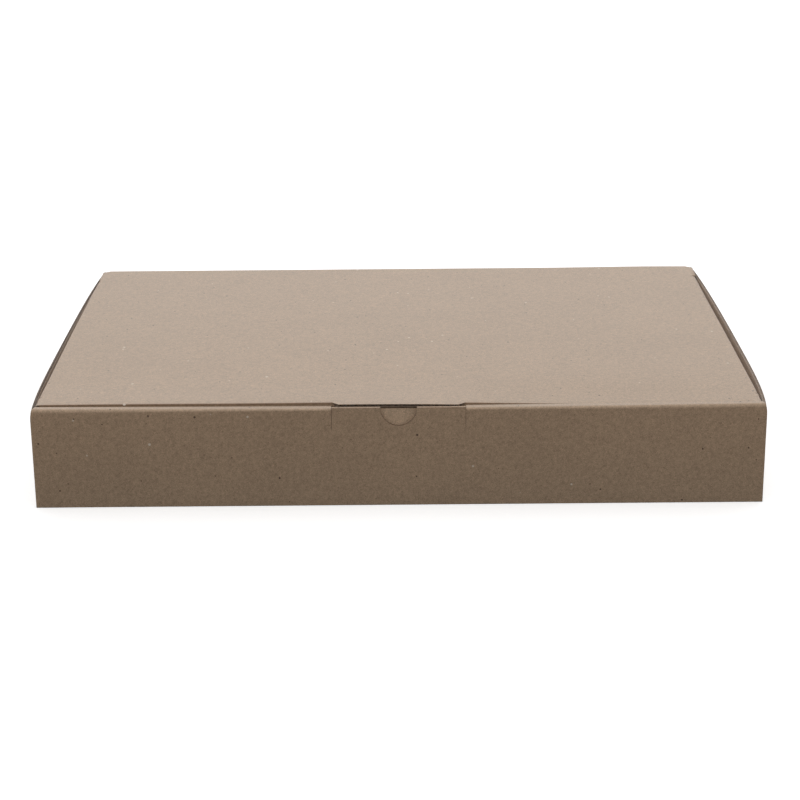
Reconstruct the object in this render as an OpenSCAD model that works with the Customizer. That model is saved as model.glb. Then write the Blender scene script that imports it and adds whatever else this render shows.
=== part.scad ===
// Flat mailer box for large letters, die cut and folded from one sheet of fine-fluted
// brown board. The side walls are one board thick and stand between the front and the
// rear wall. The front wall rolls over the side walls' corner flaps, and the lid tucks
// in between the side walls.
//
// X runs to the right, Y to the back and Z up. The origin is the middle of the
// underside. All sizes are in millimetres.

/* [Box] */
// Outer width, left to right
box_w = 350; // [260:1:450]
// Outer depth, front to back
box_d = 250; // [180:1:350]
// Outer height with the lid closed
box_h = 50; // [36:1:90]

/* [Board] */
// Thickness of the fluted board
board_t = 1.5; // [1.2:0.1:1.8]
// Thickness of each liner of the board
liner_t = 0.3; // [0.2:0.05:0.4]
// Distance from one flute to the next
flute_pitch = 3.8; // [3:0.1:5]
// Depth of the open flutes at a cut edge
flute_depth = 2; // [1:0.5:4]
// Radius of the inside of a fold
crease_r = 0.2; // [0.1:0.1:1]

/* [Front wall] */
// Spare room in the front roll, beside the corner flaps
roll_play = 0.3; // [0.2:0.1:0.8]
// How far each end of the inner front wall stands in from the side of the box
roll_inset = 2.1; // [2:0.1:4]
// How far the shoulders of the outer front wall slant in at the top
shoulder_in = 0.7; // [0.3:0.1:2]
// Height of the shoulders
shoulder_h = 5; // [3:0.5:10]

/* [Closure] */
// Width of the gap in the roll that takes the lid's nose
slot_w = 63.8; // [50:0.1:90]
// Clearance between the nose and the ends of the gap
nose_play = 0.4; // [0.3:0.1:1]
// How much each end of the nose slants in
nose_slant = 3; // [1:0.5:6]
// How far the nose reaches past the lid's front fold
nose_reach = 2.9; // [2:0.1:3.2]
// Depth of the two slits that free the tab under the nose
slit_h = 13; // [8:0.5:20]
// Width of each slit
slit_w = 0.5; // [0.3:0.1:1]
// How far the tab's top edge lies below the lid's top
tab_drop = 0.8; // [0.6:0.1:2]
// How far the inner front wall's edge lies below the lid's underside
inner_drop = 0.5; // [0.4:0.1:2]
// Radius of the thumb notch
thumb_r = 8.7; // [6:0.1:12]
// Straight length above the notch's half round
thumb_straight = 1.2; // [0.5:0.1:3]

/* [Side walls] */
// How far the side walls bow out at their top edge
side_bow = 2.4; // [0.5:0.1:4]
// Gap between the lid's underside and the top edges below it
top_gap = 0.3; // [0.3:0.1:1]
// Length of the corner flaps
corner_flap_l = 45; // [20:1:70]
// Depth of the open channel along the top edge of a side wall
edge_channel = 0.8; // [0.4:0.1:1.5]

/* [Lid] */
// Clearance between the lid and each side wall
lid_gap = 0.6; // [0.6:0.1:1.5]
// How far the lid sits off the middle, to the right
lid_shift = -0.3; // [-0.3:0.1:0.3]
// Gap between the front roll and the lid's front fold
front_gap = 0.6; // [0.4:0.1:1.5]
// How much each side of the lid flares out towards the hinge
lid_flare = 0.9; // [0:0.1:1.3]
// How far each end of the hinge stands in from the side of the box
hinge_inset = 0.4; // [0.3:0.1:1]
// Length of the lid's full width at its hinge
hinge_land = 8; // [5:1:20]
// Height of the tuck flap behind the front wall
tuck_h = 22; // [14:1:30]
// Clearance between the tuck flap and the side flaps
tuck_play = 0.5; // [0.3:0.1:2]
// Lean of the tuck flap into the box, in degrees
tuck_lean = 4; // [3:0.5:8]
// Height of the lid's side flaps
flap_h = 28; // [16:1:32]
// Distance from the front fold to a side flap
flap_front = 12; // [8:1:30]
// Distance from the hinge to a side flap
flap_rear = 22; // [16:1:60]
// Width of the relief cut at each end of a side flap's fold
flap_relief = 0.6; // [0.3:0.1:2]
// Lean of the side flaps into the box, in degrees
flap_lean = 2.5; // [1:0.5:6]
// Slant of a side flap's ends over its height
flap_slant = 14; // [4:1:25]

/* [Hidden] */
half_w = box_w / 2;
half_d = box_d / 2;
fold_r = board_t + crease_r;
// the roll holds two walls with a corner flap between them
roll_t = 3 * board_t + roll_play;
roll_w = box_w - 2 * roll_inset;
shoulder_w = box_w - 2 * shoulder_in;
roll_back = -half_d + roll_t;
lid_under = box_h - board_t;
side_top = lid_under - top_gap;
inner_top = lid_under - inner_drop;
tab_top = box_h - tab_drop;
// the lid
lid_w = box_w - 2 * board_t - 2 * lid_gap;
lid_front = roll_back + front_gap;
nose_root_w = slot_w - 2 * nose_play;
nose_tip_w = nose_root_w - 2 * nose_slant;
nose_front = lid_front - nose_reach;
tuck_inset = board_t + tuck_play;
tuck_corner_r = tuck_h / 2;
flap_rear_y = half_d - flap_rear - lid_front;
// the base's edge strip that belongs to each side wall
edge_strip = 4;
seam = 0.5;
bow_steps = 20;
// how far a cutting shape runs past what it cuts, and the lap of faces that only touch
past = 1;
eps = 0.01;
kraft = [0.66, 0.60, 0.53];
kraft_inner = [0.62, 0.56, 0.49];

// A bar along X from a shape drawn in Y and Z
module bar_x(length) {
    translate([-length / 2, 0, 0])
        rotate([90, 0, 90])
            linear_extrude(length) children();
}

// A plate facing Y from a shape drawn in X and Z, its front at y
module plate_y(y, thickness) {
    translate([0, y + thickness, 0])
        rotate([90, 0, 0])
            linear_extrude(thickness) children();
}

// Rectangle from a low to a high corner
module area(low, high) {
    translate(low) square(high - low);
}

// Rectangle whose two top corners are round
module round_top(low, high, r) {
    area(low, [high.x, high.y - r]);
    area([low.x + r, low.y], [high.x - r, high.y]);
    for (x = [low.x + r, high.x - r])
        translate([x, high.y - r]) circle(r, $fn = 48);
}

// Open cells of the board along X, in turn against the lower and the upper liner
module flute_row(width) {
    count = floor(width / flute_pitch) * 2 - 1;
    cell = flute_pitch / 2;
    low = liner_t;
    high = board_t - liner_t;
    for (i = [0 : count - 1]) {
        x = (i - (count - 1) / 2) * cell;
        foot = i % 2 == 0 ? low : high;
        tip = i % 2 == 0 ? high : low;
        polygon([[x - 0.8 * cell, foot], [x + 0.8 * cell, foot], [x, tip]]);
    }
}

// Flutes that open forwards at the front edge of a level board
module flutes_forward(y, z, width) {
    plate_y(y - eps, flute_depth)
        translate([0, z]) flute_row(width);
}

// Flutes that open upwards at the top edge of a board standing at y
module flutes_upward(y, z, width) {
    translate([0, y, z - flute_depth])
        linear_extrude(flute_depth + eps) flute_row(width);
}

// Base and rear wall with their folds as one strip, seen from the side
module tray_strip() {
    difference() {
        union() {
            area([-half_d, fold_r], [half_d, side_top]);
            area([-half_d + fold_r, 0], [half_d - fold_r, side_top]);
            for (y = [-half_d + fold_r, half_d - fold_r])
                translate([y, fold_r]) circle(fold_r, $fn = 48);
        }
        area([-half_d + board_t, board_t], [half_d - board_t, side_top + past]);
        area([-half_d - past, fold_r], [-half_d + board_t + eps, side_top + past]);
    }
}

// Outline of the outer front wall, with shoulders that slant in to the roll
module front_outline() {
    polygon([
        [-half_w, 0],
        [half_w, 0],
        [half_w, box_h - shoulder_h],
        [shoulder_w / 2, box_h - board_t],
        [shoulder_w / 2, box_h],
        [-shoulder_w / 2, box_h],
        [-shoulder_w / 2, box_h - board_t],
        [-half_w, box_h - shoulder_h]
    ]);
}

// Plan of the strip over the front wall, which slants in from the outer to the inner wall
module strip_plan() {
    polygon([
        [-shoulder_w / 2, -half_d],
        [shoulder_w / 2, -half_d],
        [shoulder_w / 2, -half_d + board_t],
        [roll_w / 2, roll_back],
        [-roll_w / 2, roll_back],
        [-shoulder_w / 2, -half_d + board_t]
    ]);
}

// The roll over the front wall, a solid bar with two round top edges
module roll_bar() {
    bar_x(box_w) round_top([-half_d, 0], [roll_back, box_h], fold_r);
}

// Room above the cut edges of the tab and the inner wall, where the nose drops in
module nose_slot() {
    plate_y(-half_d - past, board_t + past + eps)
        area([-slot_w / 2, tab_top], [slot_w / 2, box_h + past]);
    plate_y(-half_d + board_t, roll_t)
        area([-slot_w / 2, inner_top], [slot_w / 2, box_h + past]);
}

module slits() {
    for (x = [-slot_w / 2, slot_w / 2])
        plate_y(-half_d - past, board_t + past + roll_play)
            area([x - slit_w / 2, box_h - slit_h], [x + slit_w / 2, box_h + past]);
}

module thumb_notch() {
    plate_y(-half_d - past, board_t + past + roll_play) {
        translate([0, tab_top - thumb_straight]) circle(thumb_r, $fn = 64);
        area([-thumb_r, tab_top - thumb_straight], [thumb_r, box_h + past]);
    }
}

module front_wall() {
    difference() {
        union() {
            intersection() {
                plate_y(-half_d, board_t) front_outline();
                roll_bar();
            }
            intersection() {
                translate([0, 0, lid_under]) linear_extrude(board_t) strip_plan();
                roll_bar();
            }
            bar_x(roll_w) area([roll_back - board_t, board_t], [roll_back, lid_under + eps]);
        }
        // the bottom fold's round edge belongs to the strip below
        bar_x(box_w + 2 * past)
            area([-half_d - past, -past], [-half_d + board_t + eps, board_t]);
        nose_slot();
        slits();
        thumb_notch();
        flutes_upward(-half_d, tab_top, slot_w - 2 * slit_w);
        flutes_upward(roll_back - board_t, inner_top, slot_w - 2 * slit_w);
    }
}

// How far a side wall stands out, from the rear end at 0 to the front end at 1
// it rises at once, stays nearly level and drops sharply to the front
function bow_at(s) = side_bow * (1 - pow(1 - s, 6)) * (1 - pow(s, 10));

// Sweep along the right side wall, from its rear fold to its front fold, of a four-sided
// section between the heights low and high and the insets near and far from the outside
module side_sweep(low, high, near, far) {
    rear_y = half_d - board_t - fold_r;
    front_y = -half_d + board_t + fold_r;
    rise = side_top - fold_r;
    rings = [for (k = [0 : bow_steps])
        let (s = (1 - cos(180 * k / bow_steps)) / 2, y = rear_y + (front_y - rear_y) * s,
            b_low = bow_at(s) * (low - fold_r) / rise,
            b_high = bow_at(s) * (min(high, side_top) - fold_r) / rise)
        [
            [half_w - far + b_low, y, low],
            [half_w - near + b_low, y, low],
            [half_w - near + b_high, y, high],
            [half_w - far + b_high, y, high]
        ]];
    sides = [for (k = [0 : bow_steps - 1]) for (i = [0 : 3])
        let (a = 4 * k + i, b = 4 * k + (i + 1) % 4)
        each [[a, a + 4, b + 4], [a, b + 4, b]]];
    last = 4 * bow_steps;
    polyhedron(
        points = [for (ring = rings) each ring],
        faces = concat(
            [[0, 1, 2], [0, 2, 3], [last + 2, last + 1, last], [last + 3, last + 2, last]],
            sides));
}

// Bottom fold of the right side wall, with the strip of the base beside it
module side_fold() {
    clear_d = half_d - board_t;
    plate_y(-clear_d, 2 * clear_d)
        area([half_w - edge_strip, 0], [half_w - fold_r, board_t]);
    plate_y(-clear_d + fold_r, 2 * (clear_d - fold_r))
        intersection() {
            area([half_w - fold_r, 0], [half_w, fold_r]);
            translate([half_w - fold_r, fold_r])
                difference() {
                    circle(fold_r, $fn = 48);
                    circle(crease_r, $fn = 24);
                }
        }
}

// Side wall on the right, with the open channel between the liners at its top edge
module side_wall() {
    side_fold();
    difference() {
        side_sweep(fold_r, side_top, 0, board_t);
        side_sweep(side_top - edge_channel, side_top + past, liner_t, board_t - liner_t);
    }
}

// Vertical fold at an end of a side wall and the corner flap behind the front or rear
// wall, drawn for the right front corner
module corner_flap() {
    x = half_w - fold_r;
    y = -half_d + board_t + fold_r;
    difference() {
        intersection() {
            translate([x, y, 0]) cylinder(r = fold_r, h = side_top, $fn = 48);
            translate([x, y - fold_r, 0]) cube([fold_r, fold_r, side_top]);
        }
        translate([x, y, -past]) cylinder(r = crease_r, h = side_top + 2 * past, $fn = 24);
    }
    translate([x - corner_flap_l, y - fold_r, board_t])
        cube([corner_flap_l, board_t, side_top - board_t]);
}

module tray() {
    color(kraft) {
        bar_x(box_w - 2 * edge_strip + 2 * seam) tray_strip();
        // the ends of the rear wall and of the front fold, which cover the side walls' folds
        bar_x(box_w)
            intersection() {
                tray_strip();
                for (y = [-half_d, half_d - board_t])
                    area([y, 0], [y + board_t, box_h]);
            }
        front_wall();
        for (side = [0, 1])
            mirror([side, 0, 0]) {
                side_wall();
                corner_flap();
                mirror([0, 1, 0]) corner_flap();
            }
    }
}

// Plan of the lid panel: as wide as the box at the hinge, then in between the side walls
module lid_plan() {
    hinge_x = half_w - hinge_inset;
    flare_x = lid_w / 2 + lid_flare;
    polygon([
        [-hinge_x, half_d],
        [hinge_x, half_d],
        [hinge_x, half_d - hinge_land / 2],
        [flare_x, half_d - hinge_land],
        [lid_w / 2, lid_front],
        [-lid_w / 2, lid_front],
        [-flare_x, half_d - hinge_land],
        [-hinge_x, half_d - hinge_land / 2]
    ]);
}

// Panel of the lid, round at its hinge and at its front fold, without the strips where
// the side flaps fold down
module lid_panel() {
    difference() {
        intersection() {
            translate([0, 0, lid_under]) linear_extrude(board_t) lid_plan();
            bar_x(box_w) round_top([lid_front, 0], [half_d, box_h], fold_r);
        }
        for (side = [0, 1])
            mirror([side, 0, 0])
                at_right_edge()
                    translate([-fold_r, flap_front - flap_relief, 0])
                        cube([2 * fold_r, flap_rear_y - flap_front + 2 * flap_relief, box_h + past]);
    }
}

// The frame of the lid's right edge: its front corner, and Y along the edge
module at_right_edge() {
    translate([lid_w / 2, lid_front, 0])
        rotate([0, 0, -atan(lid_flare / (half_d - hinge_land - lid_front))])
            children();
}

// Nose that stays level where the front fold is cut through
module nose() {
    difference() {
        translate([0, 0, lid_under])
            linear_extrude(board_t)
                polygon([
                    [-nose_root_w / 2, lid_front + fold_r],
                    [nose_root_w / 2, lid_front + fold_r],
                    [nose_root_w / 2, lid_front],
                    [nose_tip_w / 2, nose_front],
                    [-nose_tip_w / 2, nose_front],
                    [-nose_root_w / 2, lid_front]
                ]);
        flutes_forward(nose_front, lid_under, nose_tip_w);
    }
}

// Outline of the tuck flap, hanging from z = 0, with round lower corners and the
// place where the nose was cut out
module tuck_outline() {
    w = lid_w / 2 - tuck_inset;
    difference() {
        union() {
            area([-w, -tuck_h + tuck_corner_r], [w, crease_r + eps]);
            area([-w + tuck_corner_r, -tuck_h], [w - tuck_corner_r, 0]);
            for (x = [-w + tuck_corner_r, w - tuck_corner_r])
                translate([x, -tuck_h + tuck_corner_r]) circle(tuck_corner_r, $fn = 64);
        }
        polygon([
            [-nose_root_w / 2, past],
            [nose_root_w / 2, past],
            [nose_root_w / 2, 0],
            [nose_tip_w / 2, -nose_reach],
            [-nose_tip_w / 2, -nose_reach],
            [-nose_root_w / 2, 0]
        ]);
    }
}

// Tuck flap behind the inner front wall, leaning into the box from the front fold
module tuck_flap() {
    translate([0, lid_front, box_h - fold_r])
        rotate([tuck_lean, 0, 0])
            plate_y(0, board_t) tuck_outline();
}

// Section across a side fold: a lap into the panel, a round fold and the flap that hangs
// from it and leans into the box
module side_flap_section() {
    area([-fold_r - seam, lid_under], [-fold_r + eps, box_h]);
    translate([-fold_r, box_h - fold_r]) {
        difference() {
            intersection() {
                circle(fold_r, $fn = 48);
                polygon([
                    [0, 0],
                    [0, 2 * fold_r],
                    [2 * fold_r, 2 * fold_r],
                    [2 * fold_r, -2 * fold_r * tan(flap_lean)]
                ]);
            }
            circle(crease_r, $fn = 24);
        }
        rotate(-flap_lean) area([crease_r, -flap_h], [fold_r, 0]);
    }
}

// Side flap of the lid, hanging from its right edge inside the side wall
module side_flap() {
    low = box_h - fold_r - flap_h;
    at_right_edge()
        intersection() {
            plate_y(flap_front, flap_rear_y - flap_front) side_flap_section();
            translate([-flap_h, 0, 0])
                rotate([90, 0, 90])
                    linear_extrude(flap_h + fold_r)
                        polygon([
                            [flap_front, box_h + past],
                            [flap_rear_y, box_h + past],
                            [flap_rear_y, box_h - fold_r],
                            [flap_rear_y - flap_slant, low],
                            [flap_front + flap_slant, low],
                            [flap_front, box_h - fold_r]
                        ]);
        }
}

module lid() {
    color(kraft_inner)
        translate([lid_shift, 0, 0]) {
            lid_panel();
            nose();
            tuck_flap();
            for (side = [0, 1])
                mirror([side, 0, 0]) side_flap();
        }
}

tray();
lid();
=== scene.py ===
import math

import bmesh
import bpy
import numpy as np
from mathutils import Matrix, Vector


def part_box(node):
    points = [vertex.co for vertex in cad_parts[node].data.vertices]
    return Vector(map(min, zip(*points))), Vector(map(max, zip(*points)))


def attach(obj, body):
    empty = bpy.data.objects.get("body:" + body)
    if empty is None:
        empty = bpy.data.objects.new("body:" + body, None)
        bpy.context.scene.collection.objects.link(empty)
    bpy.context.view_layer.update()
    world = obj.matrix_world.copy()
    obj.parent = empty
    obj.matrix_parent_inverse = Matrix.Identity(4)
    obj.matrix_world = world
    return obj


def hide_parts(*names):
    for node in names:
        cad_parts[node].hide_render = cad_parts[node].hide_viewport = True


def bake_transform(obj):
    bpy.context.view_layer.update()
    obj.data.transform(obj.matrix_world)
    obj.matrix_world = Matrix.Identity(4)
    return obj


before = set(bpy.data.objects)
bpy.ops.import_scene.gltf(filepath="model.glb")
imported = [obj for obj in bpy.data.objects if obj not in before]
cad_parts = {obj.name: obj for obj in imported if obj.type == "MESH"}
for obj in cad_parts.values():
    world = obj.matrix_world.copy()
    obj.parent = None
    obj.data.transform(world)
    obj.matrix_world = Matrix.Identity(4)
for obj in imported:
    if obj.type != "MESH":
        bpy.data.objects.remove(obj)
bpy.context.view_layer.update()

# A flat mailer box folded from one sheet of fine-fluted brown board, closed.
# Shapes are worked out in millimetres and put into the meshes in metres.
mm = 0.001
trayLow, trayHigh = (np.array(corner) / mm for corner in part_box("tray"))
lidLow, lidHigh = (np.array(corner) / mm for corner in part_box("lid"))

# The fluted board that everything is folded from
board = dict(
    thick=1.5,
    liner=0.18,
    medium=0.14,
    pitch=3.8,
    fold=1.7,        # outside radius of a soft crease
    tight=0.45,      # and of one that was pressed flat
    foldSteps=8,
    tightest=0.1,    # inside radius of a crease
    kerf=0.12,       # half the width of a knife slit
    gap=0.6,         # between the front roll and the lid's front fold
    play=0.02,       # share of the thickness that keeps the medium off the liners
)

hingeInset = 0.4     # how far the lid stands in from the sides
halfWidth = (lidHigh[0] - lidLow[0]) / 2 + hingeInset
frontY, rearY = trayLow[1], trayHigh[1]
boxTop = trayHigh[2]
thick, fold, tight = board["thick"], board["fold"], board["tight"]
near = 0.01          # mm, closer stations are the same one


# Shapes

# A path round square or leaning corners, seen from the side: straight legs joined by
# arcs. Stops are distances from the leg's first corner. The inner face runs one board
# inside and takes each corner on the radius that is left there, or else on a small one.
def foldedPath(corners, stops, radii):
    corners = np.array(corners, float)
    legs = np.diff(corners, axis=0)
    lengths = np.hypot(legs[:, 0], legs[:, 1])
    ways = legs / lengths[:, None]
    outs = np.stack([ways[:, 1], -ways[:, 0]], 1)
    points, inners, normals, leg, along = [], [], [], [], []
    startCut = startInner = 0.0
    for i, stop in enumerate(stops):
        last = i == len(stops) - 1
        turn = 0.0 if last else math.acos(np.clip(ways[i] @ ways[i + 1], -1, 1))
        radius = 0.0 if last else radii[i]
        left = max(radius - thick, board["tightest"])
        endCut = radius * math.tan(turn / 2)
        endInner = (thick + left) * math.tan(turn / 2)
        stop = np.sort(np.array(stop, float))
        ends = (startCut, lengths[i] - endCut)
        inside = stop[(stop > ends[0] + near) & (stop < ends[1] - near)]
        stop = np.concatenate([[ends[0]], inside, [ends[1]]])
        inStop = np.clip(stop, startInner, lengths[i] - endInner)
        points.append(corners[i] + stop[:, None] * ways[i])
        inners.append(corners[i] + inStop[:, None] * ways[i] - thick * outs[i])
        normals.append(np.repeat(outs[i][None], len(stop), 0))
        leg.append(np.full(len(stop), float(i)))
        along.append(stop)
        if not last:
            middle = (outs[i] + outs[i + 1]) / (1 + outs[i] @ outs[i + 1])
            angle = np.linspace(0, turn, board["foldSteps"] + 1)[1:-1, None]
            across = outs[i + 1] - (outs[i + 1] @ outs[i]) * outs[i]
            across /= np.linalg.norm(across)
            normal = np.cos(angle) * outs[i] + np.sin(angle) * across
            points.append(corners[i + 1] - radius * middle + radius * normal)
            inners.append(corners[i + 1] - (thick + left) * middle + left * normal)
            normals.append(normal)
            leg.append(np.full(len(angle), i + 0.5))
            along.append(angle[:, 0])
        startCut, startInner = endCut, endInner
    points, normals = np.concatenate(points), np.concatenate(normals)
    step = np.hypot(*np.diff(points, axis=0).T)
    return dict(
        point=points,
        inner=np.concatenate(inners),
        normal=normals,
        leg=np.concatenate(leg),
        along=np.concatenate(along),
        run=np.concatenate([[0], np.cumsum(step)]),
    )


def part(path, keep):
    return {key: value[keep] for key, value in path.items()}


# A strip of the sheet along a side-view path: at each station the row runs in X from the
# low to the high limit, and depth 0 is the outer face and 1 the inner face.
def stripFace(path, xLow, xHigh, share, depth):
    x = xLow[:, None] + (xHigh - xLow)[:, None] * share[None, :]
    side = path["inner"] if depth else path["point"]
    y = np.broadcast_to(side[:, :1], x.shape)
    z = np.broadcast_to(side[:, 1:], x.shape)
    return np.stack([x, y, z], -1)


# How deep the cut edge lies across the thickness: liner, cell, medium, cell, liner
edgeProfile = np.array([0, 0, 1, 1, 0.06, 0.06, 1, 1, 0, 0])


# The cut edge of the board, carried along a border with the profile above. The medium
# stands at a sine of the phase and the cells run inwards by the depth. Both ends close
# flat, so that edges can meet.
def rawEdge(outer, inner, inward, phase=None, depth=0.0):
    count = len(outer)
    inward = np.broadcast_to(np.asarray(inward, float), outer.shape)
    depth = np.broadcast_to(np.asarray(depth, float), (count,)).copy()
    even = np.linspace(0, 1, len(edgeProfile))
    level = np.repeat(even[None], count, 0)
    deep = np.zeros(level.shape)
    if phase is not None:
        liner = board["liner"] / thick
        half = board["medium"] / thick / 2
        reach = 0.5 - liner - half - board["play"]
        wave = 0.5 + reach * np.sin(phase)
        level = np.stack([
            np.zeros(count), np.full(count, liner), np.full(count, liner),
            wave - half, wave - half, wave + half, wave + half,
            np.full(count, 1 - liner), np.full(count, 1 - liner), np.ones(count),
        ], 1)
        depth[[0, -1]] = 0
        deep = depth[:, None] * edgeProfile
        level[[0, -1]] = even
    points = outer[:, None] + level[..., None] * (inner - outer)[:, None]
    return points + deep[..., None] * inward[:, None]


weldDistance = 2e-6  # m
sliverLength = 1e-7  # m
sharpAngle = math.radians(32)


# Grids of points become quads of one mesh. Borders that meet are merged, so that the
# sheet is one closed skin, and its faces are turned outwards.
def makePiece(name, grids, give, body, finish):
    points, quads, across, slots = [], [], [], []
    start = 0
    for grid, flat, slot in grids:
        rows, cols = grid.shape[:2]
        index = start + np.arange(rows * cols).reshape(rows, cols)
        quad = np.stack([index[:-1, :-1], index[1:, :-1], index[1:, 1:], index[:-1, 1:]], -1)
        points.append(grid.reshape(-1, 3))
        quads.append(quad.reshape(-1, 4))
        across.append(np.broadcast_to(flat, (rows, cols)).ravel())
        slots.append(np.full(len(quads[-1]), slot))
        start += rows * cols
    points = give(np.concatenate(points))
    mesh = bpy.data.meshes.new(name)
    mesh.from_pydata((points * mm).tolist(), [], np.concatenate(quads).tolist())
    layer = mesh.attributes.new("acrossFlutes", "FLOAT", "POINT")
    layer.data.foreach_set("value", np.concatenate(across).astype(np.float32))
    for material in finish:
        mesh.materials.append(material)
    mesh.polygons.foreach_set("material_index", np.concatenate(slots).astype(np.int32))
    shell = bmesh.new()
    shell.from_mesh(mesh)
    bmesh.ops.remove_doubles(shell, verts=shell.verts, dist=weldDistance)
    bmesh.ops.dissolve_degenerate(shell, edges=shell.edges, dist=sliverLength)
    bmesh.ops.recalc_face_normals(shell, faces=shell.faces)
    if shell.calc_volume(signed=True) < 0:
        bmesh.ops.reverse_faces(shell, faces=shell.faces)
    shell.to_mesh(mesh)
    shell.free()
    mesh.polygons.foreach_set("use_smooth", np.ones(len(mesh.polygons), bool))
    mesh.set_sharp_from_angle(angle=sharpAngle)
    piece = bpy.data.objects.new(name, mesh)
    bpy.context.scene.collection.objects.link(piece)
    if body:
        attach(piece, body)
    print(f"{name}: {len(mesh.polygons)} faces")
    return piece


# Both faces of a strip of sheet, with the same columns
def bothFaces(path, xLow, xHigh, share):
    grids = []
    for depth in (0, 1):
        grid = stripFace(path, xLow, xHigh, share, depth)
        grids.append((grid, grid[..., 0], 2 * depth))
    return grids


# The cut edge along one border of a strip: the column at X
def borderEdge(path, x, inward, phase, depth):
    column = np.zeros(1)
    outer = stripFace(path, x, x, column, 0)[:, 0]
    inner = stripFace(path, x, x, column, 1)[:, 0]
    return rawEdge(outer, inner, inward, phase, depth), 0.0, 1


# The cut edge along one station of a strip: a whole row
def rowEdge(path, k, xLow, xHigh, share, inward, fluted, depth=0.0):
    one = part(path, slice(k, k + 1))
    outer = stripFace(one, xLow[k:k + 1], xHigh[k:k + 1], share, 0)[0]
    inner = stripFace(one, xLow[k:k + 1], xHigh[k:k + 1], share, 1)[0]
    phase = 2 * np.pi * outer[:, 0] / board["pitch"] if fluted else None
    return rawEdge(outer, inner, inward, phase, depth), 0.0, 1


# Shares from 0 to 1 that crowd at both ends, as a cosine does
def crowded(count):
    return 0.5 - 0.5 * np.cos(np.linspace(0, np.pi, count))


# A slow drift of the medium along a cut that runs with the flutes, as a sine
def drift(along, start, swing, length):
    return start + swing * np.sin(np.asarray(along) / length)


# Materials

def linear(hexColor):
    value = np.array([int(hexColor[i:i + 2], 16) for i in (1, 3, 5)]) / 255
    value = np.where(value <= 0.04045, value / 12.92, ((value + 0.055) / 1.055) ** 2.4)
    return (*value, 1.0)


# Adds a node with its settings, and sets or links its inputs
def addNode(tree, kind, inputs=None, **settings):
    node = tree.nodes.new(kind)
    for key, value in settings.items():
        setattr(node, key, value)
    for socket, value in (inputs or {}).items():
        if isinstance(value, bpy.types.NodeSocket):
            tree.links.new(value, node.inputs[socket])
        else:
            node.inputs[socket].default_value = value
    return node


# Recycled kraft liner, made on a paper machine: matt, grey-brown, with cloudy formation,
# short fibres and a few dark and pale specks of waste paper
kraft = dict(
    outside="#B99E83",
    inside="#C7AC90",
    rawEdge="#927860",
    # paler than the outside: partly the inner liner's own tone, partly painted light on the inner
    # wall behind the thumb notch
    darkSpeck="#33261B",
    paleSpeck="#E8DCCC",
    cloud=38,        # mm, cloudy formation
    cloudTone=(0.965, 1.03),
    fleck=1.9,       # mm, clumps of fibre
    fleckShare=0.28,
    fibre=0.5,       # mm, single fibres, drawn a little coarse so that they show
    contrast=0.34,   # of the grain, up and down
    grainRange=(0.36, 0.64),
    cloudRange=(0.3, 0.7),
    speckCell=4.4,   # mm, about one speck to each cell of this size
    speckSize=0.6,
    # for each kind of speck: the size of its cells and the share of them without one
    specks=(("darkSpeck", 1.0, 0.55), ("paleSpeck", 1.35, 0.7)),
    speckTint=0.85,
    speckBlur=0.026, # of a cell, the soft rim of a speck
    roughness=0.55,
    sheen=0.35,      # the fibres' pale fuzz, seen at a low angle
    sheenRoughness=0.45,
    relief=0.045,    # mm
    washboard=0.12,  # the flutes' share of it
)


# The size of a pattern in millimetres as a texture scale on coordinates in metres
def scaleOf(size):
    return 1 / (size * mm)


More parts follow.
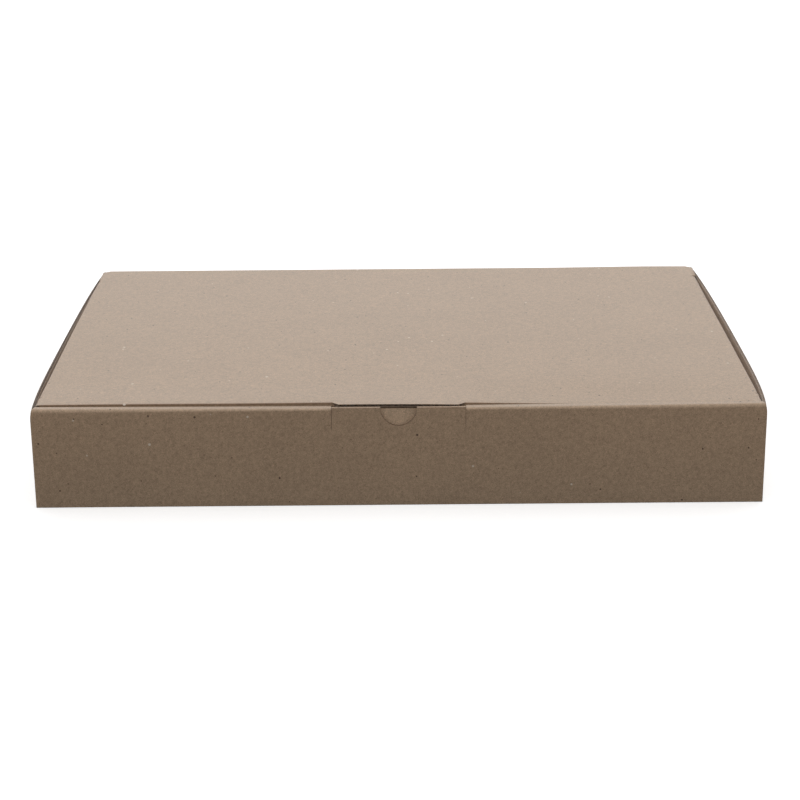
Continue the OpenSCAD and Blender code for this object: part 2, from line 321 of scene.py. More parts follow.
def kraftBoard(name, base, washboard):
    material = bpy.data.materials.new(name)
    material.use_nodes = True
    tree = material.node_tree
    shader = tree.nodes["Principled BSDF"]
    place = addNode(tree, "ShaderNodeTexCoord").outputs["Object"]
    cloud = addNode(tree, "ShaderNodeTexNoise", {
        "Vector": place, "Scale": scaleOf(kraft["cloud"]), "Detail": 3, "Roughness": 0.6})
    fleck = addNode(tree, "ShaderNodeTexNoise", {
        "Vector": place, "Scale": scaleOf(kraft["fleck"]), "Detail": 4, "Roughness": 0.65})
    fibre = addNode(tree, "ShaderNodeTexNoise", {
        "Vector": place, "Scale": scaleOf(kraft["fibre"]), "Detail": 2, "Roughness": 0.6,
        "Distortion": 1.5})
    clumps = addNode(tree, "ShaderNodeMath", {
        0: fleck.outputs["Fac"], 1: kraft["fleckShare"]}, operation="MULTIPLY")
    grain = addNode(tree, "ShaderNodeMath", {
        0: fibre.outputs["Fac"], 1: 1 - kraft["fleckShare"], 2: clumps.outputs[0]},
        operation="MULTIPLY_ADD")
    shade = addNode(tree, "ShaderNodeMapRange", {
        "Value": grain.outputs[0], "From Min": kraft["grainRange"][0],
        "From Max": kraft["grainRange"][1], "To Min": 1 - kraft["contrast"],
        "To Max": 1 + kraft["contrast"]})
    clouds = addNode(tree, "ShaderNodeMapRange", {
        "Value": cloud.outputs["Fac"], "From Min": kraft["cloudRange"][0],
        "From Max": kraft["cloudRange"][1], "To Min": kraft["cloudTone"][0],
        "To Max": kraft["cloudTone"][1]})
    both = addNode(tree, "ShaderNodeMath", {
        0: shade.outputs["Result"], 1: clouds.outputs["Result"]}, operation="MULTIPLY")
    tone = addNode(tree, "ShaderNodeVectorMath", {
        0: linear(base)[:3], "Scale": both.outputs[0]}, operation="SCALE")
    color = tone.outputs["Vector"]
    # specks: a point in some of the cells, dark in one pattern and pale in another
    for speck, cell, share in kraft["specks"]:
        cells = addNode(tree, "ShaderNodeTexVoronoi", {
            "Vector": place, "Scale": scaleOf(kraft["speckCell"] * cell)})
        chosen = addNode(tree, "ShaderNodeSeparateColor", {"Color": cells.outputs["Color"]})
        radius = addNode(tree, "ShaderNodeMapRange", {
            "Value": chosen.outputs["Red"], "From Min": share, "From Max": 1.0,
            "To Min": 0.0, "To Max": kraft["speckSize"] / kraft["speckCell"]})
        rough = addNode(tree, "ShaderNodeMath", {
            0: fibre.outputs["Fac"], 1: 0.05, 2: cells.outputs["Distance"]},
            operation="MULTIPLY_ADD")
        inside = addNode(tree, "ShaderNodeMath", {
            0: radius.outputs["Result"], 1: rough.outputs[0]}, operation="SUBTRACT")
        soft = addNode(tree, "ShaderNodeMapRange", {
            "Value": inside.outputs[0], "From Min": -kraft["speckBlur"], "From Max": 0.0,
            "To Min": 0.0, "To Max": kraft["speckTint"]})
        color = addNode(tree, "ShaderNodeMix", {
            "Factor": soft.outputs["Result"], "A": color, "B": linear(kraft[speck])},
            data_type="RGBA").outputs["Result"]
    tree.links.new(color, shader.inputs["Base Color"])
    shader.inputs["Roughness"].default_value = kraft["roughness"]
    shader.inputs["Sheen Weight"].default_value = kraft["sheen"]
    shader.inputs["Sheen Roughness"].default_value = kraft["sheenRoughness"]
    # the liner's relief: fibres, clumps and the faint washboard of the flutes under it
    across = addNode(tree, "ShaderNodeAttribute", attribute_name="acrossFlutes")
    turns = addNode(tree, "ShaderNodeMath", {
        0: across.outputs["Fac"], 1: 2 * math.pi / board["pitch"]}, operation="MULTIPLY")
    wave = addNode(tree, "ShaderNodeMath", {0: turns.outputs[0]}, operation="SINE")
    ribs = addNode(tree, "ShaderNodeMath", {
        0: wave.outputs[0], 1: washboard, 2: grain.outputs[0]}, operation="MULTIPLY_ADD")
    bump = addNode(tree, "ShaderNodeBump", {
        "Height": ribs.outputs[0], "Strength": 1.0, "Distance": kraft["relief"] * mm})
    tree.links.new(bump.outputs["Normal"], shader.inputs["Normal"])
    return material


# The outer liner is the one that the photo shows. The cut edge is coloured darker, partly for the
# paper's rough ends and partly as painted shade of the gaps where the edges lie; the same colour
# paints the shade in the lid's front crease. The inner liner is paler, partly its own tone and
# partly painted light on the inner wall behind the thumb notch.
linerFace = kraftBoard("kraft_liner", kraft["outside"], kraft["washboard"])
cutEdgeAndShade = kraftBoard("kraft_cut_edge_and_shade", kraft["rawEdge"], 0.0)
linerInside = kraftBoard("kraft_liner_inside", kraft["inside"], kraft["washboard"])
finish = [linerFace, cutEdgeAndShade, linerInside]


# The tray: inner front wall, strip over the front roll, outer front wall, base and rear
# wall in one path, and side walls with corner flaps that join the base at their folds

tray = dict(
    rollDepth=4.8,       # three boards and a little play
    rollInset=2.1,       # how far the inner wall's ends stand in
    shoulder=5,          # height of the shoulders
    shoulderCurve=1.6,
    slotWidth=63.8,
    innerTop=48.5,       # cut edge of the inner wall in the slot
    tabTop=50.45,
    slitDepth=13,
    thumbRadius=8.7,
    thumbStraight=1.2,
    hingeStart=46,       # where the hinge strip takes over from the rear wall
    sag=0.7,             # how far the roll gives in its middle
    sideTop=48.2,
    flapTop=47.2,
    flapLength=45,
    foot=0.02,           # the inner wall ends just over the base
    bow=((2.35, 0.0), (2.35, 0.75)),       # left and right: at the rear, and more in front
    bowRise=6,
    bowDrop=10,
    channel=(1.7, 0.3),                    # depth of the cells in the side walls' top edges
    medium=((-0.35, 0.75), (-0.4, 0.3)),   # where the medium stands there, and its drift
    bulge=1.5,                             # of the inner wall behind the thumb notch
    bulgeZ=38,
    bulgeReach=(34, 8.5),                  # along X and Z
    # where the medium stands in the other cut edges, its drift and the drift's length
    endMedium=(0.7, 0.5, 30),
    slotMedium=(0.4, 0.6, 9),
    tabMedium=(0.5, 0.5, 6),
    sideDrift=21,
    # and how deep their cells are
    endCells=1.4,
    slotCells=1.2,
    innerCells=0.6,
    notchCells=0.5,
    tabCells=0.08,
)

# numbers of points along the tray's grids
trayPoints = dict(side=45, width=34, tab=52, notch=22, rise=12)


def smooth(share):
    share = np.clip(share, 0, 1)
    return share * share * (3 - 2 * share)


# The roll over the front wall gives way towards its middle, like a shallow parabola. The
# inner wall swells forwards below it, as a bell along X and Z.
def trayGive(points):
    x, y, z = points.T
    front = y < frontY + tray["rollDepth"] + 1
    press = np.clip((z - tray["innerTop"]) / (boxTop - tray["innerTop"]), 0, 1)
    sag = tray["sag"] * (1 - (x / halfWidth) ** 2) * press * front
    innerWall = front & (y > frontY + tray["rollDepth"] - 1.1 * thick)
    reachX, reachZ = tray["bulgeReach"]
    bell = np.exp(-(x / reachX) ** 4 - ((z - tray["bulgeZ"]) / reachZ) ** 2)
    return points - np.stack([x * 0, tray["bulge"] * bell * innerWall, sag], 1)


# How far a side wall stands out: a power of the share lets it rise at once from the rear
# corner at 0, and a higher one lets it drop sharply to the front corner at 1
def bowOut(share, sizes):
    rise = 1 - (1 - share) ** tray["bowRise"]
    return (sizes[0] + sizes[1] * share) * rise * (1 - share ** tray["bowDrop"])


def makeTray():
    half = halfWidth
    backY = frontY + tray["rollDepth"]
    foot = thick + tray["foot"]
    clear = rearY - thick - fold                  # side walls stand between these in Y
    sideY = clear * np.sin(np.linspace(-1, 1, trayPoints["side"]) * np.pi / 2)
    corners = [(backY, foot), (backY, boxTop), (frontY, boxTop), (frontY, 0),
               (rearY, 0), (rearY, tray["hingeStart"])]
    slitEnd = boxTop - tray["slitDepth"]
    # stations along each leg: the cut lines, and even steps between them
    stops = [
        np.append(np.linspace(6, 42, 7), tray["innerTop"] - foot),
        [2.4],
        np.append(np.linspace(2.5, tray["slitDepth"], 8),
                  np.linspace(tray["slitDepth"] + 3, boxTop - 4, 9)),
        sideY - frontY,
        np.linspace(5, 42, 7),
    ]
    path = foldedPath(corners, stops, (tight, fold, tight, fold))
    leg, run = path["leg"], path["run"]
    z, y = path["point"][:, 1], path["point"][:, 0]
    count = len(run)

    # where each end of the strip lies: in at the roll, slanting out over the shoulders
    rollEnd = run[leg == 0][-1]
    frontZ, frontRun = z[leg == 2][::-1], run[leg == 2][::-1]
    shoulderEnd = np.interp(boxTop - tray["shoulder"], frontZ, frontRun)
    slant = np.clip((shoulderEnd - run) / (shoulderEnd - rollEnd), 0, 1) ** tray["shoulderCurve"]
    inset = tray["rollInset"] * np.where(leg <= 2, slant, 0)
    onBase = (leg == 3) & (np.abs(y) < clear + near)
    inset = np.where(onBase, fold, inset)
    end = half - inset

    innerCut = np.flatnonzero((leg == 0) & (np.abs(z - tray["innerTop"]) < near))[0]
    slitCut = np.flatnonzero((leg == 2) & (np.abs(z - slitEnd) < near))[0]
    slot = tray["slotWidth"] / 2
    parting = np.zeros(count)
    parting[innerCut + 1:slitCut] = 1
    taper = np.clip((z - slitEnd) / 3, 0, 1)
    parting = np.where(leg == 2, parting * taper, parting)
    mouth = slot + board["kerf"] * parting

    # left and right of the slot
    grids = []
    share = crowded(trayPoints["width"])
    base = np.flatnonzero(onBase)
    for side in (-1, 1):
        xLow, xHigh = (-end, -mouth) if side < 0 else (mouth, end)
        grids += bothFaces(path, xLow, xHigh, share)
        inward = (-side, 0, 0)
        for first, last in ((0, base[0]), (base[-1], count - 1)):
            reach = part(path, slice(first, last + 1))
            start, swing, length = tray["endMedium"]
            phase = drift(reach["run"], start * side, swing, length)
            grids.append(borderEdge(reach, side * end[first:last + 1], inward, phase,
                                    tray["endCells"]))
        slotRun = part(path, slice(innerCut, slitCut + 1))
        phase = drift(slotRun["run"], *tray["slotMedium"])
        grids.append(borderEdge(slotRun, side * mouth[innerCut:slitCut + 1],
                                (side, 0, 0), phase, tray["slotCells"]))
        for k, inwardZ in ((0, 1), (count - 1, -1)):
            grids.append(rowEdge(path, k, xLow, xHigh, share, (0, 0, inwardZ), False))

    # the middle: the tab's outline runs along the cut edge, round the thumb notch and
    # on, and straight lines join it to a level line at the slits' ends
    radius, straight = tray["thumbRadius"], tray["thumbStraight"]
    tabTop, tabPoints = tray["tabTop"], trayPoints["tab"]
    flatX = np.linspace(-(slot - board["kerf"]), -radius, tabPoints)
    drop = np.linspace(tabTop, tabTop - straight, 3)
    angle = np.linspace(np.pi, 1.5 * np.pi, trayPoints["notch"])
    arcX, arcZ = radius * np.cos(angle), tabTop - straight + radius * np.sin(angle)
    leftX = np.concatenate([flatX, np.full(2, -radius), arcX[1:]])
    leftZ = np.concatenate([np.full(tabPoints, tabTop), drop[1:], arcZ[1:]])
    outlineX = np.concatenate([leftX, -leftX[-2::-1]])
    outlineZ = np.concatenate([leftZ, leftZ[-2::-1]])
    notch = np.hypot(np.diff(leftX[tabPoints - 1:]), np.diff(leftZ[tabPoints - 1:]))
    notch = np.concatenate([[0], np.cumsum(notch)]) / notch.sum()
    spread = 1.4 * radius                         # the notch's lines fan out below it
    leftFoot = np.concatenate([np.linspace(-slot, -spread, tabPoints), -spread * (1 - notch[1:])])
    columns = np.concatenate([leftFoot, -leftFoot[-2::-1]])
    columnShare = (columns + slot) / (2 * slot)
    blend = np.linspace(0, 1, trayPoints["rise"])[:, None]
    tabX = outlineX * (1 - blend) + columns * blend
    tabZ = outlineZ * (1 - blend) + slitEnd * blend
    tabFaces = []
    for depth in (0, 1):
        tabY = np.full(tabX.shape, frontY + depth * thick)
        tabFaces.append(np.stack([tabX, tabY, tabZ], -1))
        grids.append((tabFaces[-1], tabX, 2 * depth))
    below = part(path, slice(slitCut, count))
    low, high = np.full(count, -slot), np.full(count, slot)
    grids += bothFaces(below, low[slitCut:], high[slitCut:], columnShare)
    grids.append(rowEdge(path, count - 1, low, high, columnShare, (0, 0, -1), False))
    innerWall = part(path, slice(0, innerCut + 1))
    grids += bothFaces(innerWall, low[:innerCut + 1], high[:innerCut + 1], columnShare)
    grids.append(rowEdge(path, 0, low, high, columnShare, (0, 0, 1), False))
    grids.append(rowEdge(path, innerCut, low, high, columnShare, (0, 0, -1), True,
                         tray["innerCells"]))
    # cut edges of the tab: fluted on the level stretches, shallow round the notch. The level
    # stretches take the liner's paler colour instead of the cut edge's, as painted light on their
    # lit tops.
    outer, inner = (face[0] for face in tabFaces)
    total = len(outer)
    fluted = 2 * np.pi * outer[:, 0] / board["pitch"]
    for keep in (slice(0, tabPoints), slice(total - tabPoints, total)):
        edge = rawEdge(outer[keep], inner[keep], (0, 0, -1), fluted[keep], tray["tabCells"])
        grids.append((edge, 0.0, 0))
    keep = slice(tabPoints - 1, total - tabPoints + 1)
    away = np.stack([outlineX[keep], outlineZ[keep] * 0, outlineZ[keep] - (tabTop - straight)], 1)
    away[:, 2] = np.minimum(away[:, 2], 0)
    away /= np.linalg.norm(away, axis=1)[:, None]
    edge = rawEdge(outer[keep], inner[keep], away, fluted[keep], tray["notchCells"])
    grids.append((edge, 0.0, 1))
    for side, column in ((-1, 0), (1, -1)):
        outer, inner = (face[:, column] for face in tabFaces)
        phase = drift(outer[:, 2], *tray["tabMedium"])
        edge = rawEdge(outer, inner, (-side, 0, 0), phase, tray["slotCells"])
        grids.append((edge, 0.0, 1))

    # side walls: a plan path from the front corner flap round to the rear one
    flapX = half - fold - tray["flapLength"]
    endY = clear + fold
    planCorners = [(flapX, -endY), (half, -endY), (half, endY), (flapX, endY)]
    planStops = [np.linspace(6, 40, 5), sideY + endY, np.linspace(6, 40, 5)]
    plan = foldedPath(planCorners, planStops, (fold, fold))
    onSide = plan["leg"] == 1
    lift = np.linspace(0, 1, trayPoints["rise"])
    topZ = np.where(onSide, tray["sideTop"], tray["flapTop"])
    arc = np.abs(plan["leg"] - np.round(plan["leg"])) > 0.1
    topZ = np.where(arc, np.interp(np.abs(plan["point"][:, 1]),
                                   [clear, endY], [tray["sideTop"], tray["flapTop"]]), topZ)
    for side, sizes in ((-1, tray["bow"][0]), (1, tray["bow"][1])):
        towards = np.clip((clear - plan["point"][:, 1]) / (2 * clear), 0, 1)
        out = np.where(onSide, bowOut(towards, sizes), 0)
        faces = []
        height = fold + (topZ - fold)[:, None] * lift
        for depth in (0, 1):
            flat = plan["point"] - depth * thick * plan["normal"]
            x = flat[:, :1] + out[:, None] * ((height - fold) / (tray["sideTop"] - fold))
            yGrid = np.broadcast_to(flat[:, 1:], x.shape)
            faces.append(np.stack([side * x, yGrid, height], -1))
            grids.append((faces[-1], half + height, 2 * depth))
        stations = len(plan["leg"])
        first, last = np.flatnonzero(onSide)[[0, -1]]
        phase = drift(plan["run"], *tray["medium"][side > 0], tray["sideDrift"])
        top = rawEdge(faces[0][:, -1], faces[1][:, -1], (0, 0, -1), phase,
                      tray["channel"][side > 0])
        grids.append((top, 0.0, 1))
        for keep in (slice(0, first + 1), slice(last, stations)):
            below = rawEdge(faces[0][keep, 0], faces[1][keep, 0], (0, 0, 1))
            grids.append((below, 0.0, 1))
        for k in (0, -1):
            edge = rawEdge(faces[0][k], faces[1][k], (side, 0, 0))
            grids.append((edge, 0.0, 1))
        # the fold between the base and the side wall: a quarter round carried along Y
        turn = np.linspace(0, np.pi / 2, board["foldSteps"] + 1)
        rounds = []
        for depth in (0, 1):
            r = fold - depth * thick
            x = side * (half - fold + r * np.sin(turn))
            zArc = fold - r * np.cos(turn)
            grid = np.stack(np.broadcast_arrays(x[None], sideY[:, None], zArc[None]), -1)
            rounds.append(grid)
            grids.append((grid, half - fold + fold * turn[None], 2 * depth))
        for k in (0, -1):
            edge = rawEdge(rounds[0][k], rounds[1][k], (0, -np.sign(sideY[k]), 0))
            grids.append((edge, 0.0, 1))
    return makePiece("tray_board", grids, trayGive, "tray", finish)


trayBoard = makeTray()
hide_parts("tray")


# The lid: panel and tuck flap in one path, the nose that stays level, and side flaps

lid = dict(
    hingeEnd=4,          # where the lid takes over from the hinge strip, from the rear
    noseRoot=31.5,
    noseTip=28.5,
    noseReach=2.7,
    tuckDepth=22,
    tuckLean=4,
    tuckInset=2.0,
    tuckCorner=11,
    flapFront=12,
    flapRear=22,
    flapHeight=28,
    flapSlant=14,
    flapLean=2.5,        # degrees
    relief=0.6,          # width of the cuts at the side flaps' ends
    crease=0.5,          # how far down the front fold takes the darker cut-edge colour, as painted shade in the crease
    # left and right edge of the panel: X at points along Y
    edgeY=(-120, -98, -54, -18, 34, 76, 111, 117, 125),
    left=(-173.3, -173.4, -173.8, -174.1, -174.6, -174.9, -174.6, -174.5, -174.7),
    right=(173.3, 173.3, 173.2, 173.2, 173.6, 173.9, 174.0, 174.1, 174.5),
    bendY=(117, -112, -115),   # more stations, where the corners bend
    sideFold=0.8,        # radius of the side folds at the front
    softFold=(1.3, 2.5), # how much wider the left and right folds are at the rear
    softRamp=(-30, 120), # Y where that starts, and over how far
    bendWidth=1.6,       # of the edges before and behind the side flaps
    bendDrop=0.9,
    trim=0.5,            # how much narrower the panel is just behind them
    trimLength=14,
    shift=(0.35, -0.57), # of the front fold, at the left and the right
    shiftRamp=(-60, 150),
    # where the medium stands in its cut edges, its drift and the drift's length
    edgeMedium=(0.5, 0.6, 17),
    flapMedium=(0.3, 0.6, 25),
    hingeMedium=(0.5, 0.4, 8),
    # and how deep their cells are
    edgeCells=1.4,
    flapCells=1.2,
    tuckCells=2.0,
    noseCells=3.2,
)

# numbers of points along the lid's grids
lidPoints = dict(panel=40, width=36, middle=141, tuck=9, flap=40, hinge=80)

# Where the lid stands up or gives way: middle in X and Y, reach in X and Y, lift
lidSwells = (
    (-140, -121, 90, 22, 0.5),
    (5, -121, 60, 22, 0.58),
    (98, -119, 66, 24, -0.95),
    (144, 122, 34, 30, 0.35),
    (-20, 0, 120, 80, 0.35),
)


# A sum of soft bells over the panel. Past the side flaps the edges bend down, with the
# square of the way out, and towards the right the front fold lies closer to the roll.
def lidGive(points):
    x, y, z = points.T
    lift = np.zeros(len(points))
    for midX, midY, reachX, reachY, height in lidSwells:
        lift += height * np.exp(-((x - midX) / reachX) ** 2 - ((y - midY) / reachY) ** 2)
    width = lid["bendWidth"]
    edge = np.abs(np.where(x < 0, panelEdge(-1, y), panelEdge(1, y)))
    out = np.clip((np.abs(x) - edge + width) / width, 0, 1)
    beyond = smooth((y - rearY + lid["flapRear"] + 3) / 6) + smooth((frontY + 19 - y) / 5)
    lift -= lid["bendDrop"] * out ** 2 * beyond * (np.abs(x) > halfWidth / 2)
    weight = np.clip((z - (boxTop - 6)) / 4, 0, 1)
    left, right = lid["shift"]
    across = smooth((x - lid["shiftRamp"][0]) / lid["shiftRamp"][1])
    shift = (left + (right - left) * across) * smooth((frontY + 25 - y) / 18)
    return points + np.stack([x * 0, shift, lift * weight], 1)


def panelEdge(side, y):
    return np.interp(y, lid["edgeY"], lid["left"] if side < 0 else lid["right"])


# The side folds are tight at the front and softer towards the rear
def sideRadius(side, y):
    start, length = lid["softRamp"]
    return lid["sideFold"] + lid["softFold"][side > 0] * smooth((y - start) / length)


# How far from the edge the flat panel ends: the inner face needs the board's thickness
def sideReach(side, y):
    return np.maximum(sideRadius(side, y), thick + board["tightest"])


def makeLid():
    lidFront = frontY + tray["rollDepth"] + board["gap"]
    tuckTurn = math.radians(lid["tuckLean"])
    length = tight + lid["tuckDepth"]
    startY = rearY - lid["hingeEnd"]
    corners = [(startY, boxTop), (lidFront, boxTop),
               (lidFront + length * math.sin(tuckTurn),
                boxTop - length * math.cos(tuckTurn))]
    flapY = (lidFront + lid["flapFront"], rearY - lid["flapRear"])
    inFlap = np.linspace(flapY[0], flapY[1], lidPoints["panel"])
    panelY = np.sort(np.concatenate([
        inFlap, [flapY[0] - lid["relief"], flapY[1] + lid["relief"], *lid["bendY"]]]))
    deep = np.sin(np.linspace(0, 1, lidPoints["tuck"]) * np.pi / 2)
    tuckStops = tight + np.append(
        [lid["crease"], lid["noseReach"], 6, 9],
        lid["tuckDepth"] - lid["tuckCorner"] + lid["tuckCorner"] * deep[:-1])
    path = foldedPath(corners, [startY - panelY, tuckStops], (tight,))
    leg, y = path["leg"], path["point"][:, 0]
    hang = np.where(leg == 1, path["along"] - tight, 0)
    count = len(leg)

    # half width of the tuck flap: straight, then a quarter round at each lower corner
    tuckHalf = -panelEdge(-1, lidFront) - lid["tuckInset"]
    over = np.clip((hang - (lid["tuckDepth"] - lid["tuckCorner"])) / lid["tuckCorner"], 0, 1)
    tuckEnd = tuckHalf - lid["tuckCorner"] * (1 - np.sqrt(1 - over ** 2))
    arcShare = np.clip((path["run"] - path["run"][leg == 0][-1])
                       / (path["run"][leg == 1][0] - path["run"][leg == 0][-1]), 0, 1)
    fingers = np.flatnonzero((leg == 0) & (y > flapY[0] - near) & (y < flapY[1] + near))

    # the nose is cut out of the tuck flap, so its slanting sides belong to both
    noseStart = np.flatnonzero(leg == 0)[-1]
    noseEnd = np.flatnonzero((leg == 1) & (np.abs(hang - lid["noseReach"]) < near))[0]
    # where the painted shade on the front fold ends
    shadeEnd = np.flatnonzero((leg == 1) & (np.abs(hang - lid["crease"]) < near))[0]
    reach = path["run"] - path["run"][noseStart]
    slant = np.clip((reach - tight) / (reach[noseEnd] - tight), 0, 1)
    cut = np.zeros(count)
    cut[noseStart + 1:noseEnd] = board["kerf"]
    mouth = lid["noseRoot"] + (lid["noseTip"] - lid["noseRoot"]) * slant + cut
    mouth[noseEnd:] = lid["noseTip"]

    grids = []
    share = crowded(lidPoints["width"])
    for side in (-1, 1):
        edge = np.abs(panelEdge(side, y))
        edge = np.where(leg == 0, edge, edge * (1 - arcShare) + tuckEnd * arcShare)
        edge = np.where(leg == 1, tuckEnd, edge)
        edge[fingers] -= sideReach(side, y[fingers])
        behind = 1 - smooth((y - flapY[1]) / lid["trimLength"])
        edge -= lid["trim"] * (y > flapY[1] + near) * behind
        xLow, xHigh = (-edge, -mouth) if side < 0 else (mouth, edge)
        inside = stripFace(path, xLow, xHigh, share, 1)
        grids.append((inside, inside[..., 0], 2))
        # outside: the front fold's arc and the top of the tuck flap take the darker cut-edge
        # colour, as painted shade in the crease beside the roll
        for first, last, slot in ((0, noseStart, 0), (noseStart, shadeEnd, 1), (shadeEnd, count - 1, 0)):
            keep = slice(first, last + 1)
            outside = stripFace(part(path, keep), xLow[keep], xHigh[keep], share, 0)
            grids.append((outside, outside[..., 0], slot))
        for first, last in ((0, fingers[0]), (fingers[-1], count - 1)):
            reachPart = part(path, slice(first, last + 1))
            start, swing, length = lid["edgeMedium"]
            phase = drift(reachPart["run"], start * side, swing, length)
            grids.append(borderEdge(reachPart, side * edge[first:last + 1],
                                    (-side, 0, 0), phase, lid["edgeCells"]))
        nosePart = part(path, slice(noseStart, noseEnd + 1))
        grids.append(borderEdge(nosePart, side * mouth[noseStart:noseEnd + 1],
                                (side, 0, 0), nosePart["run"] * 0, lid["tuckCells"]))
        grids.append(rowEdge(path, 0, xLow, xHigh, share, (0, -1, 0), False))
        tuckWay = (0, -math.sin(tuckTurn), math.cos(tuckTurn))
        grids.append(rowEdge(path, count - 1, xLow, xHigh, share, tuckWay, True,
                             lid["tuckCells"]))

        # side flap: a quarter round from the panel and a hanging flap with slanting ends
        edgeX = np.abs(panelEdge(side, inFlap))
        radius = sideRadius(side, inFlap)
        turn = np.linspace(0, np.pi / 2, board["foldSteps"] + 1)
        hangs = np.linspace(0, 1, lidPoints["flap"])[1:]
        middle = (flapY[0] + flapY[1]) / 2
        halfLong = (flapY[1] - flapY[0]) / 2
        lean = math.tan(math.radians(lid["flapLean"]))
        faces = []
        for depth in (0, 1):
            r = sideReach(side, inFlap) - thick if depth else radius
            startX = (edgeX - sideReach(side, inFlap))[:, None]
            arcX = (edgeX - depth * thick - r)[:, None] + r[:, None] * np.sin(turn)
            arcZ = (boxTop - depth * thick - r)[:, None] + r[:, None] * np.cos(turn)
            fall = (thick + lid["flapHeight"] - depth * thick - r)[:, None] * hangs
            flapX = (edgeX - depth * thick)[:, None] - lean * fall
            flapZ = (boxTop - depth * thick - r)[:, None] - fall
            shrink = 1 - lid["flapSlant"] / halfLong * hangs
            allX = np.concatenate([startX, arcX, flapX], 1)
            allZ = np.concatenate([arcZ[:, :1], arcZ, flapZ], 1)
            arcY = np.broadcast_to(inFlap[:, None], (len(inFlap), len(turn) + 1))
            flapYs = middle + (inFlap - middle)[:, None] * shrink
            allY = np.concatenate([arcY, flapYs], 1)
            grid = np.stack([side * allX, allY, allZ], -1)
            faces.append(grid)
            down = radius.mean() * np.pi / 2 + lid["flapHeight"] * hangs
            down = np.concatenate([[-1], radius.mean() * turn, down])
            grids.append((grid, halfWidth + down[None], 2 * depth))
        fluted = 2 * np.pi * (halfWidth + down) / board["pitch"]
        for k, inwardY in ((0, 1), (-1, -1)):
            edge = rawEdge(faces[0][k], faces[1][k], (0, inwardY, 0), fluted, lid["tuckCells"])
            grids.append((edge, 0.0, 1))
        phase = drift(inFlap, *lid["flapMedium"])
        edge = rawEdge(faces[0][:, -1], faces[1][:, -1], (0, 0, 1), phase, lid["flapCells"])
        grids.append((edge, 0.0, 1))

    # the middle: panel and nose run on level, and the tuck flap goes on below the cut-out
    columnShare = np.linspace(0, 1, lidPoints["middle"])
    noseY = np.array([lidFront, lidFront - lid["noseReach"] / 2, lidFront - lid["noseReach"]])
    panel = part(path, leg == 0)
    noseTop = np.stack([noseY, np.full(3, boxTop)], 1)
    nose = dict(
        point=np.concatenate([panel["point"], noseTop]),
        inner=np.concatenate([panel["inner"], noseTop - (0, thick)]),
    )
    noseHalf = np.concatenate([
        np.full(len(panel["leg"]), lid["noseRoot"]),
        np.linspace(lid["noseRoot"], lid["noseTip"], 3)])
    grids += bothFaces(nose, -noseHalf, noseHalf, columnShare)
    last = len(noseHalf) - 1
    grids.append(rowEdge(nose, 0, -noseHalf, noseHalf, columnShare, (0, -1, 0), False))
    grids.append(rowEdge(nose, last, -noseHalf, noseHalf, columnShare, (0, 1, 0), True,
                         lid["noseCells"]))
    for side in (-1, 1):
        sidePart = part(nose, slice(len(panel["leg"]) - 1, last + 1))
        grids.append(borderEdge(sidePart, side * noseHalf[len(panel["leg"]) - 1:],
                                (-side, 0, 0), np.zeros(4), lid["tuckCells"]))
    tuck = part(path, slice(noseEnd, count))
    grids += bothFaces(tuck, -mouth[noseEnd:], mouth[noseEnd:], columnShare)
    for k, inward in ((0, (0, math.sin(tuckTurn), -math.cos(tuckTurn))),
                      (count - 1 - noseEnd, tuckWay)):
        grids.append(rowEdge(tuck, k, -mouth[noseEnd:], mouth[noseEnd:], columnShare,
                             inward, True, lid["tuckCells"]))
    return makePiece("lid_board", grids, lidGive, "lid", finish)


lidBoard = makeLid()
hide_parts("lid")


# The hinge: the fold between the rear wall and the lid
def makeHinge():
    lidY = rearY - lid["hingeEnd"]
    corners = [(rearY, tray["hingeStart"]), (rearY, boxTop), (lidY, boxTop)]
    path = foldedPath(corners, [[1.1], [2.9]], (fold,))
    share = np.linspace(0, 1, lidPoints["hinge"])
    level = np.clip((path["point"][:, 1] - tray["hingeStart"]) / 4, 0, 1)
    grids, ends = [], []
    for side in (-1, 1):
        edge = halfWidth + (np.abs(panelEdge(side, path["point"][:, 0])) - halfWidth) * level
        ends.append(side * edge)
    grids += bothFaces(path, ends[0], ends[1], share)
    for side, x in zip((-1, 1), ends):
        start, swing, length = lid["hingeMedium"]
        phase = drift(path["run"], start * side, swing, length)
        grids.append(borderEdge(path, x, (-side, 0, 0), phase, lid["flapCells"]))
    last = len(path["leg"]) - 1
    grids.append(rowEdge(path, 0, ends[0], ends[1], share, (0, 0, 1), False))
    grids.append(rowEdge(path, last, ends[0], ends[1], share, (0, 1, 0), False))
    return makePiece("hinge_fold", grids, lidGive, None, finish)


hingeFold = makeHinge()
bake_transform(hingeFold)


# Studio: a floor of pale matt paper, soft lamps above and low behind, and an even sky

studio = dict(
    lamps=(               # place, size and power of each
        ((0.0, 0.9, 1.9), (3.4, 2.2), 8),
        ((0.0, 2.2, 0.85), (3.6, 1.1), 10.7),
    ),
    sky=0.62,
    floorSize=30,
    floorSeen=0.98,              # paleness of the floor that the camera sees
    floorGlow=0.5,
    floorTint=(1.0, 0.78, 0.6),  # of the floor that the box sees, and its paleness
    floorPaleness=(0.0, 0.21),   # near the box, where its shadow is painted, and farther out
    floorReach=(0.02, 0.14),
)

scene = bpy.context.scene
scene.view_settings.view_transform = "Standard"


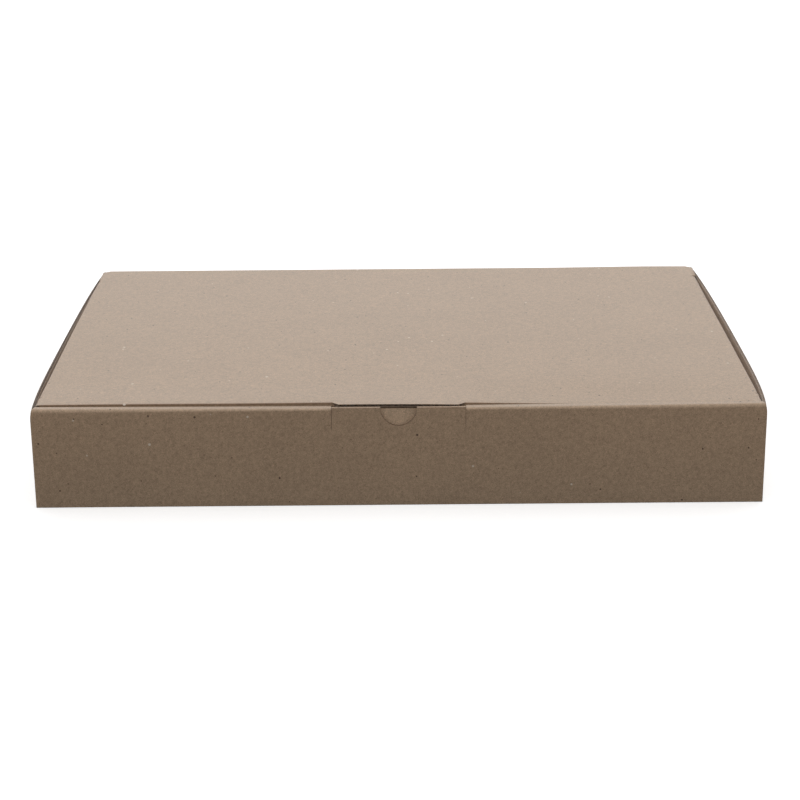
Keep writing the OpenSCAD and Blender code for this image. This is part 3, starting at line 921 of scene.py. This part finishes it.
def makeStudio():
    for name, (place, size, power) in zip(("overhead", "backdrop_glow"), studio["lamps"]):
        lamp = bpy.data.lights.new(name, "AREA")
        lamp.shape = "RECTANGLE"
        lamp.size, lamp.size_y = size
        lamp.energy = power
        holder = bpy.data.objects.new(name, lamp)
        holder.location = place
        holder.rotation_euler = (-math.atan2(place[1], place[2]), 0, 0)   # towards the box
        scene.collection.objects.link(holder)

    world = bpy.data.worlds.new("studio")
    scene.world = world
    world.use_nodes = True
    tree = world.node_tree
    tree.nodes.clear()
    rays = addNode(tree, "ShaderNodeLightPath")
    sky = addNode(tree, "ShaderNodeBackground", {"Color": (1, 1, 1, 1), "Strength": studio["sky"]})
    white = addNode(tree, "ShaderNodeBackground", {"Color": (1, 1, 1, 1), "Strength": 1.0})
    both = addNode(tree, "ShaderNodeMixShader", {
        "Fac": rays.outputs["Is Camera Ray"], 1: sky.outputs[0], 2: white.outputs[0]})
    addNode(tree, "ShaderNodeOutputWorld", {"Surface": both.outputs[0]})

    half = studio["floorSize"] / 2
    mesh = bpy.data.meshes.new("floor")
    mesh.from_pydata([(-half, -half, 0), (half, -half, 0), (half, half, 0), (-half, half, 0)],
                     [], [(0, 1, 2, 3)])
    floor = bpy.data.objects.new("floor", mesh)
    scene.collection.objects.link(floor)
    material = bpy.data.materials.new("floor_paper")
    material.use_nodes = True
    tree = material.node_tree
    tree.nodes.clear()
    rays = addNode(tree, "ShaderNodeLightPath")
    # painted shadow: the floor that the box sees is dark beside it, where the box's shade falls,
    # and gets paler farther out
    place = addNode(tree, "ShaderNodeTexCoord").outputs["Object"]
    ahead = addNode(tree, "ShaderNodeVectorMath", {0: place}, operation="ABSOLUTE")
    beyond = addNode(tree, "ShaderNodeVectorMath", {
        0: ahead.outputs["Vector"], 1: (halfWidth * mm, rearY * mm, 0)}, operation="SUBTRACT")
    ways = addNode(tree, "ShaderNodeSeparateXYZ", {"Vector": beyond.outputs["Vector"]})
    far = addNode(tree, "ShaderNodeMath", {
        0: ways.outputs["X"], 1: ways.outputs["Y"]}, operation="MAXIMUM")
    paleness = addNode(tree, "ShaderNodeMapRange", {
        "Value": far.outputs[0], "From Min": studio["floorReach"][0],
        "From Max": studio["floorReach"][1], "To Min": studio["floorPaleness"][0],
        "To Max": studio["floorPaleness"][1]})
    warm = addNode(tree, "ShaderNodeVectorMath", {
        0: studio["floorTint"], "Scale": paleness.outputs["Result"]}, operation="SCALE")
    grey = addNode(tree, "ShaderNodeBsdfDiffuse", {"Color": warm.outputs["Vector"]})
    pale = addNode(tree, "ShaderNodeBsdfDiffuse", {"Color": (studio["floorSeen"],) * 3 + (1,)})
    glow = addNode(tree, "ShaderNodeEmission", {
        "Color": (1, 1, 1, 1), "Strength": studio["floorGlow"]})
    seen = addNode(tree, "ShaderNodeAddShader", {0: pale.outputs[0], 1: glow.outputs[0]})
    mix = addNode(tree, "ShaderNodeMixShader", {
        "Fac": rays.outputs["Is Camera Ray"], 1: grey.outputs[0], 2: seen.outputs[0]})
    addNode(tree, "ShaderNodeOutputMaterial", {"Surface": mix.outputs[0]})
    mesh.materials.append(material)


makeStudio()

# Camera: fitted to the box's corners in the photograph
camera = dict(
    place=(0.0015, -1.0117, 0.3592),
    pitch=19.02,         # degrees below level
    yaw=-0.05,
    roll=-0.5,
    focal=1981.5,        # in pixels of a picture 800 wide
    width=800,
)


def makeCamera():
    pitch, yaw, roll = (math.radians(camera[key]) for key in ("pitch", "yaw", "roll"))
    forward = np.array([math.sin(yaw) * math.cos(pitch), math.cos(yaw) * math.cos(pitch),
                        -math.sin(pitch)])
    right = np.array([math.cos(yaw), -math.sin(yaw), 0])
    up = np.cross(right, forward)
    right, up = (math.cos(roll) * right + math.sin(roll) * up,
                 -math.sin(roll) * right + math.cos(roll) * up)
    lens = bpy.data.cameras.new("camera")
    lens.sensor_width = 36
    lens.lens = camera["focal"] / camera["width"] * lens.sensor_width
    lens.clip_start, lens.clip_end = 0.01, 100
    eye = bpy.data.objects.new("camera", lens)
    turn = np.eye(4)
    turn[:3, 0], turn[:3, 1], turn[:3, 2] = right, up, -forward
    turn[:3, 3] = camera["place"]
    eye.matrix_world = Matrix(turn.tolist())
    scene.collection.objects.link(eye)
    scene.camera = eye


makeCamera()
print("studio and camera are set")
